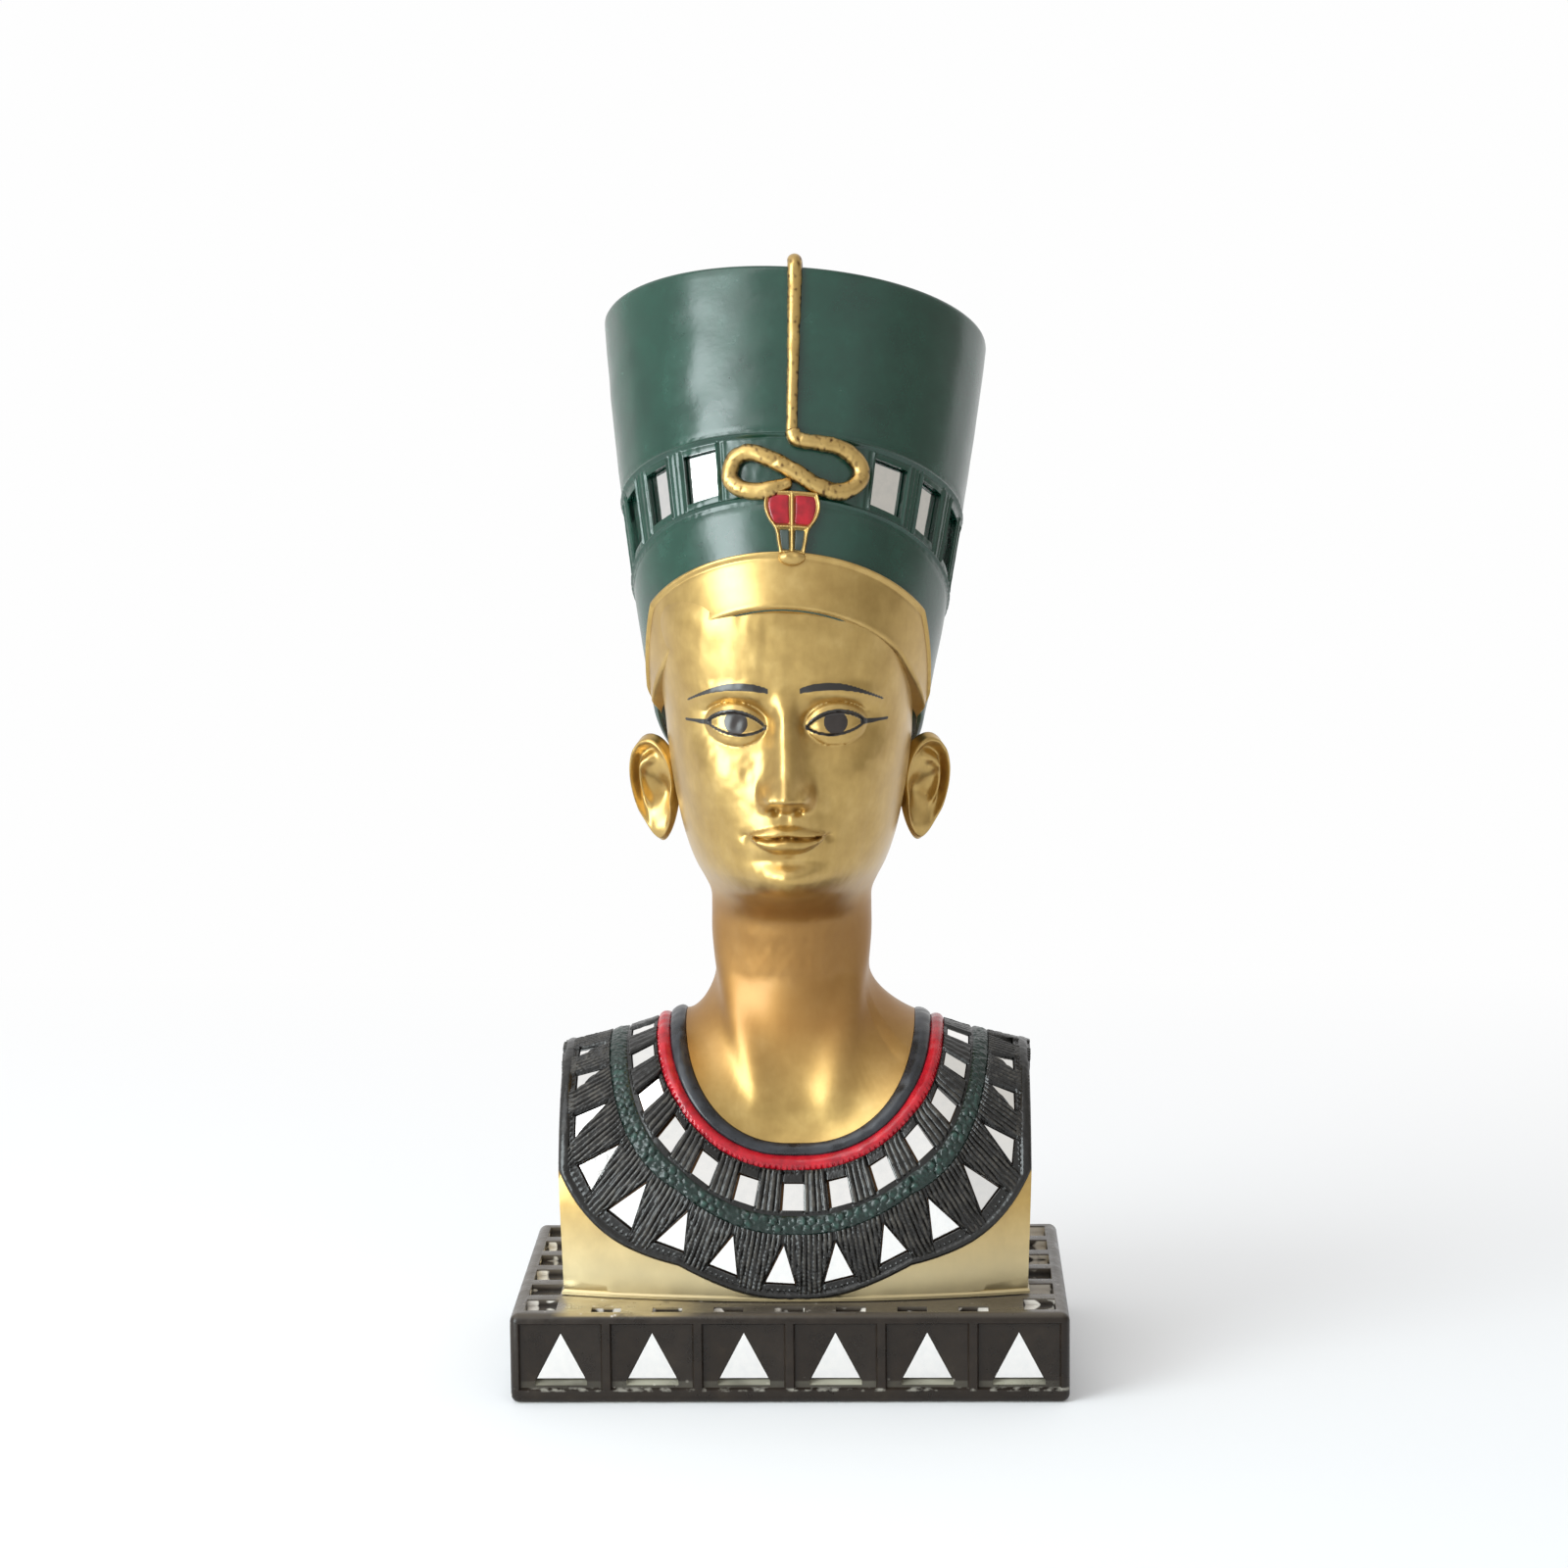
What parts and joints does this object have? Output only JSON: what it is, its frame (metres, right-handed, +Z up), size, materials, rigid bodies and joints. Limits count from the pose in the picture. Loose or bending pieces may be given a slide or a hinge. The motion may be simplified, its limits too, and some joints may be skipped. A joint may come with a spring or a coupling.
{
  "type": "ancient egyptian queen bust figurine",
  "caption": "Table bust of an ancient Egyptian queen in a tall flat-topped crown with a serpent and a broad collar set with mirror chips, on a low panelled plinth.",
  "frame": {"origin": "middle of the plinth's underside", "axes": "+Z up through the crown, the face looks along -Y and the bust's own left hand is +X"},
  "size_m": [0.143, 0.1283, 0.2904],
  "materials": {
    "gold_paint": "metallic gold paint on cast resin, satin",
    "plinth_paint": "dark brown paint on cast resin, satin",
    "green_paint": "dark green paint on cast resin, glossy",
    "collar_paint": "brown-black paint, dry-brushed lighter on the ridges",
    "black_paint": "black paint, satin",
    "red_enamel": "red enamel paint, glossy",
    "eye_paint": "dark brown iris paint, glossy",
    "mirror_chip": "silvered glass, plain"
  },
  "bodies": {
    "root": {"bust": "gold_paint", "plinth": "plinth_paint", "collar_square_01": "mirror_chip", "collar_square_02": "mirror_chip", "collar_square_03": "mirror_chip", "collar_square_04": "mirror_chip", "collar_square_05": "mirror_chip", "collar_square_06": "mirror_chip", "collar_square_07": "mirror_chip", "collar_square_08": "mirror_chip", "collar_square_09": "mirror_chip", "collar_square_10": "mirror_chip", "collar_square_11": "mirror_chip", "collar_square_12": "mirror_chip", "collar_square_13": "mirror_chip", "collar_triangle_01": "mirror_chip", "collar_triangle_02": "mirror_chip", "collar_triangle_03": "mirror_chip", "collar_triangle_04": "mirror_chip", "collar_triangle_05": "mirror_chip", "collar_triangle_06": "mirror_chip", "collar_triangle_07": "mirror_chip", "collar_triangle_08": "mirror_chip", "collar_triangle_09": "mirror_chip", "collar_triangle_10": "mirror_chip", "collar_triangle_11": "mirror_chip", "collar_triangle_12": "mirror_chip", "collar_triangle_13": "mirror_chip", "collar_triangle_14": "mirror_chip", "collar_triangle_15": "mirror_chip", "collar_triangle_16": "mirror_chip", "crown_cell_01": "mirror_chip", "crown_cell_02": "mirror_chip", "crown_cell_03": "mirror_chip", "crown_cell_04": "mirror_chip", "crown_cell_05": "mirror_chip", "crown_cell_06": "mirror_chip", "crown_cell_07": "mirror_chip", "crown_cell_08": "mirror_chip", "crown_cell_09": "mirror_chip", "crown_cell_10": "mirror_chip", "plinth_triangle_01": "mirror_chip", "plinth_triangle_02": "mirror_chip", "plinth_triangle_03": "mirror_chip", "plinth_triangle_04": "mirror_chip", "plinth_triangle_05": "mirror_chip", "plinth_triangle_06": "mirror_chip", "plinth_slot_01": "mirror_chip", "plinth_slot_02": "mirror_chip", "plinth_slot_03": "mirror_chip", "plinth_slot_04": "mirror_chip", "plinth_slot_05": "mirror_chip", "plinth_slot_06": "mirror_chip", "plinth_slot_07": "mirror_chip", "plinth_slot_08": "mirror_chip", "plinth_slot_09": "mirror_chip", "plinth_slot_10": "mirror_chip", "plinth_slot_11": "mirror_chip", "plinth_slot_12": "mirror_chip"}
  },
  "joints": []
}
